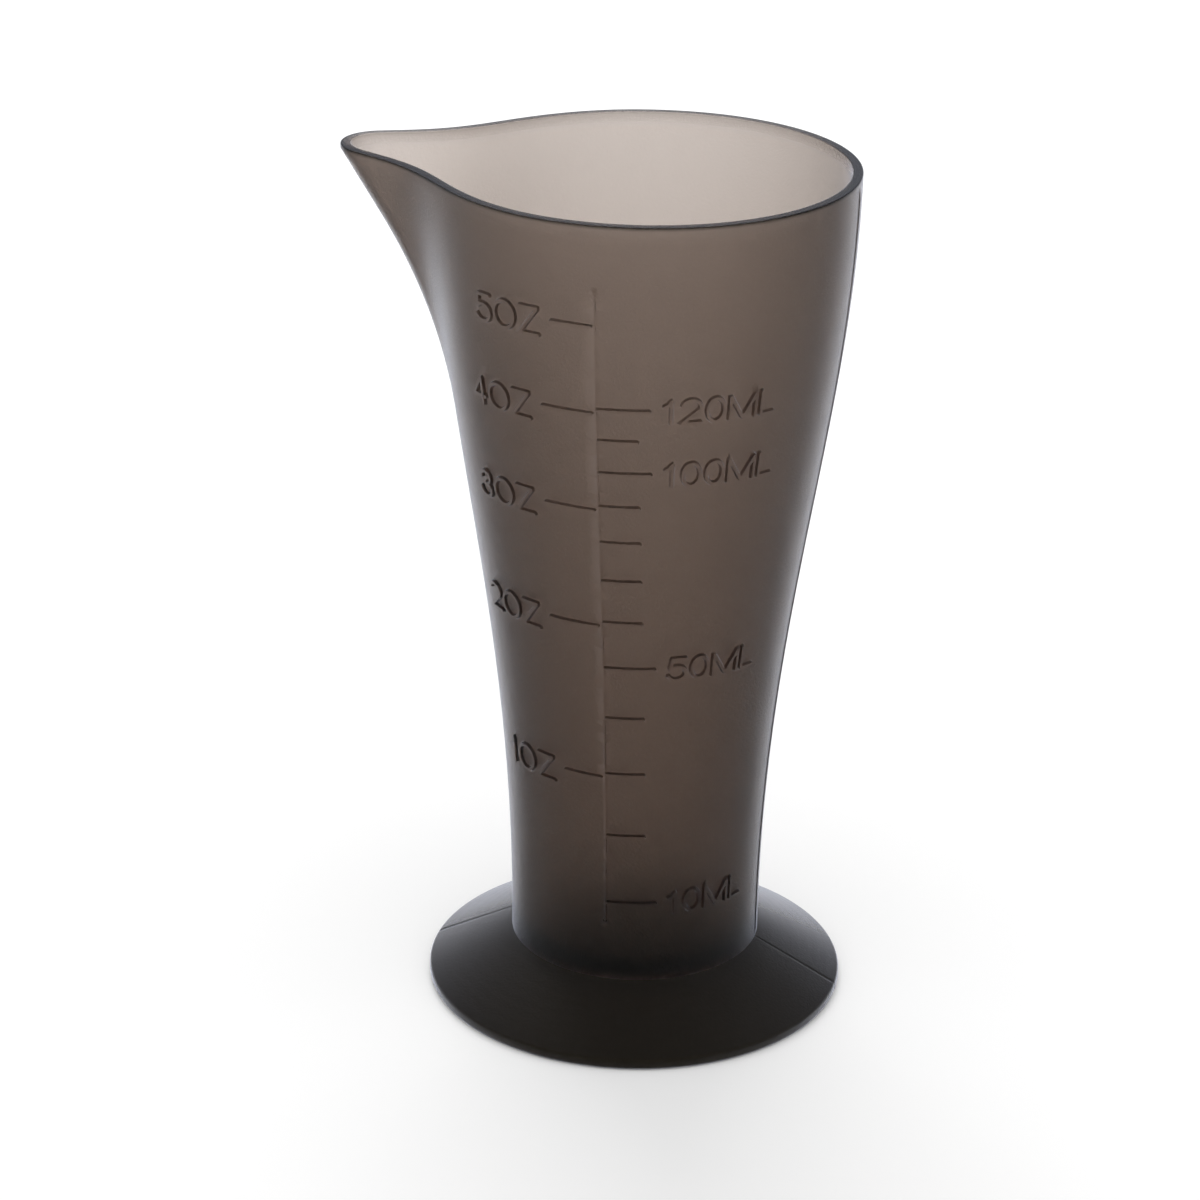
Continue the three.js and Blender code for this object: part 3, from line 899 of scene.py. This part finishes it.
class CUP_OT_make_vessel(bpy.types.Operator):
    """Makes the vessel: wall, lip, rim, inside, floor and the raised scale, in one skin"""

    bl_idname = "cup.make_vessel"
    bl_label = "Make vessel"

    def execute(self, context):
        scene = context.scene
        shape = CupShape(scene)
        strokes = scale_strokes(shape, scene.cup_scale)
        net = add_piece("scale_strokes", stroke_net(shape, strokes))
        material = smoke_polypropylene("polypropylene_smoke_vessel", scene.cup_vessel_skin, is_vessel=True)
        values = {
            "Strokes": net,
            "Flat Share": FLAT_SHARE,
            "Foot Share": FOOT_SHARE,
            "Fade Share": FADE_SHARE,
            "Mark Polish": scene.cup_plastic.mark_polish,
        }
        vessel = grow("cup_vessel", vessel_mesh(shape, strokes), raised_scale_tree(material), values)
        bpy.data.objects.remove(net)
        settle(vessel, "vessel")
        return {"FINISHED"}


# Foot

# Corners of the foot's outline as radius and level, by the names of the tree's inputs
FOOT_CORNERS = (
    ("Crease Radius", "Top"),
    ("Radius", "Edge Height"),
    ("Radius", "Table"),
    ("Ring Radius", "Table"),
    ("Ring Radius", "Ring Underside"),
    ("Collar Radius", "Collar Underside"),
    ("Collar Radius", "Socket End"),
    ("Socket Radius", "Socket End"),
    ("Socket Radius", "Seat"),
    ("Seat Radius", "Seat"),
    ("Seat Radius", "Top"),
)
ROUND_CORNERS = (1, 2)
CRISP_ROUND = 0.01 * MM
FOOT_COLUMNS = 720
FOOT_PARTING_HALF_WIDTH = 0.25 * MM
# The foot's fine lip reaches from just inside the stem's skin to just outside of it, so that no gap shows
LIP_CLEAR = 0.02 * MM
LIP_OVERLAP = 0.03 * MM


def foot_tree(material):
    """Geometry Nodes: draws the foot's outline, rounds its edge and turns it about the axis."""
    names = [name for corner in FOOT_CORNERS for name in corner]
    names.extend(("Axis X", "Edge Round", "Parting Shift", "Parting Half Width"))
    tree = new_tree("turned_foot", {"Base": "Geometry", **dict.fromkeys(names, "Float"), "Columns": "Int"})
    add = partial(add_node, tree)
    given = add("NodeGroupInput")

    index = add("GeometryNodeInputIndex")[0]
    places = add("GeometryNodeIndexSwitch", {"Index": index}, data_type="VECTOR")[0].node
    rounds = add("GeometryNodeIndexSwitch", {"Index": index}, data_type="FLOAT")[0].node
    # A new switch has two items
    for _ in FOOT_CORNERS[2:]:
        places.index_switch_items.new()
        rounds.index_switch_items.new()
    for i, (radius, level) in enumerate(FOOT_CORNERS):
        corner = add("ShaderNodeCombineXYZ", {"X": given[radius], "Y": given[level]})[0]
        tree.links.new(corner, places.inputs[i + 1])
        if i in ROUND_CORNERS:
            tree.links.new(given["Edge Round"], rounds.inputs[i + 1])
        else:
            rounds.inputs[i + 1].default_value = CRISP_ROUND
    # The outline is swept along a circle of the foot's radius, which turns it upside down
    rim = add("ShaderNodeCombineXYZ", {"X": given["Radius"]})[0]
    inward = add("ShaderNodeVectorMath", {0: places.outputs[0], 1: rim}, operation="SUBTRACT")[0]
    turned_over = add("ShaderNodeVectorMath", {0: inward, 1: (1, -1, 1)}, operation="MULTIPLY")[0]
    dots = add("GeometryNodePoints", {"Count": len(FOOT_CORNERS), "Position": turned_over})[0]
    line = add("GeometryNodePointsToCurves", {"Points": dots})[0]
    loop = add("GeometryNodeSetSplineCyclic", {"Geometry": line, "Cyclic": True})[0]
    outline = add(
        "GeometryNodeFilletCurve",
        {"Curve": loop, "Count": 6, "Radius": rounds.outputs[0], "Limit Radius": True},
        mode="POLY",
    )[0]
    circle = add(
        "GeometryNodeCurvePrimitiveCircle", {"Resolution": given["Columns"], "Radius": given["Radius"]}
    )[0]
    swept = add("GeometryNodeCurveToMesh", {"Curve": circle, "Profile Curve": outline})[0]

    # The parting lines run over the cone in the plane of the lip, as fine grooves
    spot = add("GeometryNodeInputPosition")[0]
    across = add("ShaderNodeSeparateXYZ", {0: spot})["Y"]
    off = add("ShaderNodeMath", {0: across}, operation="ABSOLUTE")[0]
    groove = add(
        "ShaderNodeMapRange",
        {"Value": off, "From Max": given["Parting Half Width"], "To Min": given["Parting Shift"],
         "To Max": 0.0},
    )["Result"]
    normal = add("GeometryNodeInputNormal")[0]
    shift = add("ShaderNodeVectorMath", {0: normal, "Scale": groove}, operation="SCALE")[0]
    grooved = add("GeometryNodeSetPosition", {"Geometry": swept, "Offset": shift})[0]
    axis = add("ShaderNodeCombineXYZ", {"X": given["Axis X"]})[0]
    moved = add("GeometryNodeSetPosition", {"Geometry": grooved, "Offset": axis})[0]
    close_tree(add, moved, material)
    return tree


class CUP_OT_make_foot(bpy.types.Operator):
    """Makes the conical foot that the vessel stands in"""

    bl_idname = "cup.make_foot"
    bl_label = "Make foot"

    def execute(self, context):
        scene = context.scene
        wall, base, foot = scene.cup_wall, scene.cup_floor, scene.cup_foot
        crease = wall.stem_radius + LIP_CLEAR
        top = wall.crease + foot.lip
        seat = wall.crease - foot.seat_gap
        socket = wall.stem_radius - base.shoulder + foot.clearance
        collar = socket + foot.collar_wall
        ring = foot.radius - foot.ring_width
        slope = (foot.edge_height - top) / (foot.radius - crease)
        depth = foot.wall * math.sqrt(1 + slope**2)
        values = {
            "Axis X": AXIS_X, "Radius": foot.radius, "Table": 0.0, "Top": top,
            "Crease Radius": crease, "Edge Height": foot.edge_height, "Edge Round": foot.edge_round,
            "Ring Radius": ring, "Ring Underside": (ring - crease) * slope + top - depth,
            "Collar Radius": collar, "Collar Underside": (collar - crease) * slope + top - depth,
            "Socket Radius": socket, "Socket End": seat - base.spigot_length,
            "Seat Radius": wall.stem_radius - LIP_OVERLAP, "Seat": seat,
            "Parting Shift": -PARTING_DEPTH, "Parting Half Width": FOOT_PARTING_HALF_WIDTH,
            "Columns": FOOT_COLUMNS,
        }
        material = smoke_polypropylene("polypropylene_smoke_foot", scene.cup_foot_skin, is_vessel=False)
        piece = grow("cup_foot", bpy.data.meshes.new("foot_base"), foot_tree(material), values)
        settle(piece, "foot")
        return {"FINISHED"}


# Stage

FLOOR_HALF = 4.0
FLOOR_DROP = 0.1 * MM
BACKDROP_WAY = Vector((-0.8, 0.6, 0))
# The backdrop fades out upwards between these heights, as sines of the angle above the floor
BACKDROP_TOP = (0.12, 0.26)
# It fades in sideways between these cosines of the angle from its middle
BACKDROP_SIDE = (0.1, 0.8)
SOFTBOX_SIZE = 0.6
SOFTBOX_PLACE = Vector((-0.2, 0.55, 0.85))
SOFTBOX_AIM = Vector((0, 0, 0.06))
SENSOR_WIDTH = 36
CLIP_START = 0.01
CAMERA_PLACE = Vector((113.196 * MM, -453.965 * MM, 258.528 * MM))
CAMERA_AIM = Vector((0.656 * MM, 0.05 * MM, 60 * MM))
CAMERA_ROLL = math.radians(0.709)


def studio_world(name, stage):
    """A soft dome of light. The camera sees white, and gloss and clear plastic see a backdrop."""
    world = bpy.data.worlds.new(name)
    add = partial(add_node, empty_tree(world))
    way = add("ShaderNodeTexCoord")["Generated"]
    ahead = add("ShaderNodeSeparateXYZ", {0: way})
    towards = add("ShaderNodeVectorMath", {0: way, 1: BACKDROP_WAY}, operation="DOT_PRODUCT")["Value"]
    # The backdrop ends above the cup, so the flat rim shows the dim studio over it
    low, high = BACKDROP_TOP
    under_top = add(
        "ShaderNodeMapRange",
        {"Value": ahead["Z"], "From Min": low, "From Max": high, "To Min": 1.0, "To Max": 0.0},
        interpolation_type="SMOOTHSTEP",
    )["Result"]
    sheet = add("ShaderNodeMath", {0: towards, 1: under_top}, operation="MULTIPLY")[0]
    low, high = BACKDROP_SIDE
    behind = add(
        "ShaderNodeMapRange",
        {"Value": sheet, "From Min": low, "From Max": high, "To Min": stage.front, "To Max": 1.0},
        interpolation_type="SMOOTHSTEP",
    )["Result"]
    path = add("ShaderNodeLightPath")
    shown = add("ShaderNodeMix", {0: path["Is Camera Ray"], 2: behind, 3: 1.0}, data_type="FLOAT")[0]
    # All other light is a dome that is brighter in front and at the right
    soft = stage.dome
    for axis, more in (("X", stage.dome_right), ("Y", -stage.dome_front)):
        soft = add(
            "ShaderNodeMath", {0: ahead[axis], 1: stage.dome * more, 2: soft}, operation="MULTIPLY_ADD"
        )[0]
    seen = path["Is Camera Ray"]
    for kind in ("Is Glossy Ray", "Is Transmission Ray"):
        seen = add("ShaderNodeMath", {0: seen, 1: path[kind]}, operation="MAXIMUM")[0]
    level = add("ShaderNodeMix", {0: seen, 2: soft, 3: shown}, data_type="FLOAT")[0]
    sky = add("ShaderNodeBackground", {"Color": (1, 1, 1, 1), "Strength": level})[0]
    add("ShaderNodeOutputWorld", {"Surface": sky})
    return world


class CUP_OT_make_stage(bpy.types.Operator):
    """Makes the floor, the light and the camera"""

    bl_idname = "cup.make_stage"
    bl_label = "Make stage"

    def execute(self, context):
        scene = context.scene
        stage = scene.cup_stage
        signs = ((-1, -1), (1, -1), (1, 1), (-1, 1))
        corners = [(x * FLOOR_HALF, y * FLOOR_HALF, -FLOOR_DROP) for x, y in signs]
        mesh = bpy.data.meshes.new("floor")
        mesh.from_pydata(corners, [], [(0, 1, 2, 3)])
        mesh.materials.append(floor_paper("seamless_paper"))
        floor = add_piece("floor", mesh)
        scene.world = studio_world("studio", stage)

        lamp = bpy.data.lights.new("softbox", "AREA")
        lamp.energy = stage.softbox
        lamp.size = SOFTBOX_SIZE
        softbox = bpy.data.objects.new("softbox", lamp)
        scene.collection.objects.link(softbox)
        softbox.location = SOFTBOX_PLACE
        softbox.rotation_euler = (SOFTBOX_AIM - SOFTBOX_PLACE).to_track_quat("-Z", "Y").to_euler()

        camera = bpy.data.cameras.new("camera")
        camera.lens = stage.lens
        camera.sensor_width = SENSOR_WIDTH
        camera.clip_start = CLIP_START
        eye = bpy.data.objects.new("camera", camera)
        scene.collection.objects.link(eye)
        forward = (CAMERA_AIM - CAMERA_PLACE).normalized()
        right = forward.cross(Vector((0, 0, 1))).normalized()
        up = right.cross(forward)
        rolled_right = right * math.cos(CAMERA_ROLL) + up * math.sin(CAMERA_ROLL)
        rolled_up = up * math.cos(CAMERA_ROLL) - right * math.sin(CAMERA_ROLL)
        turn = Matrix((rolled_right, rolled_up, -forward)).transposed().to_4x4()
        eye.matrix_world = Matrix.Translation(CAMERA_PLACE) @ turn
        scene.camera = eye
        scene.view_settings.view_transform = "Standard"
        return {"FINISHED"}


class CUP_PT_panel(bpy.types.Panel):
    """Lists the sizes and the operators"""

    bl_idname = "CUP_PT_panel"
    bl_label = "Measuring cup"
    bl_space_type = "VIEW_3D"
    bl_region_type = "UI"
    bl_category = "Cup"

    def draw(self, context):
        for name in PROPERTY_GROUPS:
            box = self.layout.box()
            group = getattr(context.scene, name)
            for key in group.__annotations__:
                box.prop(group, key)
        for operator in OPERATORS:
            self.layout.operator(operator.bl_idname)


PROPERTY_GROUPS = {
    "cup_wall": CupWallSizes,
    "cup_lip": CupLipSizes,
    "cup_floor": CupFloorSizes,
    "cup_scale": CupScaleSizes,
    "cup_foot": CupFootSizes,
    "cup_plastic": CupPlastic,
    "cup_vessel_skin": CupVesselSkin,
    "cup_foot_skin": CupFootSkin,
    "cup_stage": CupStage,
}
OPERATORS = (CUP_OT_make_vessel, CUP_OT_make_foot, CUP_OT_make_stage)


def register():
    for name, group in PROPERTY_GROUPS.items():
        bpy.utils.register_class(group)
        setattr(bpy.types.Scene, name, bpy.props.PointerProperty(type=group))
    for operator in OPERATORS:
        bpy.utils.register_class(operator)
    bpy.utils.register_class(CUP_PT_panel)


def unregister():
    bpy.utils.unregister_class(CUP_PT_panel)
    for operator in reversed(OPERATORS):
        bpy.utils.unregister_class(operator)
    for name, group in PROPERTY_GROUPS.items():
        delattr(bpy.types.Scene, name)
        bpy.utils.unregister_class(group)


def main():
    register()
    bpy.ops.cup.make_vessel()
    bpy.ops.cup.make_foot()
    bpy.ops.cup.make_stage()


if __name__ == "__main__":
    main()
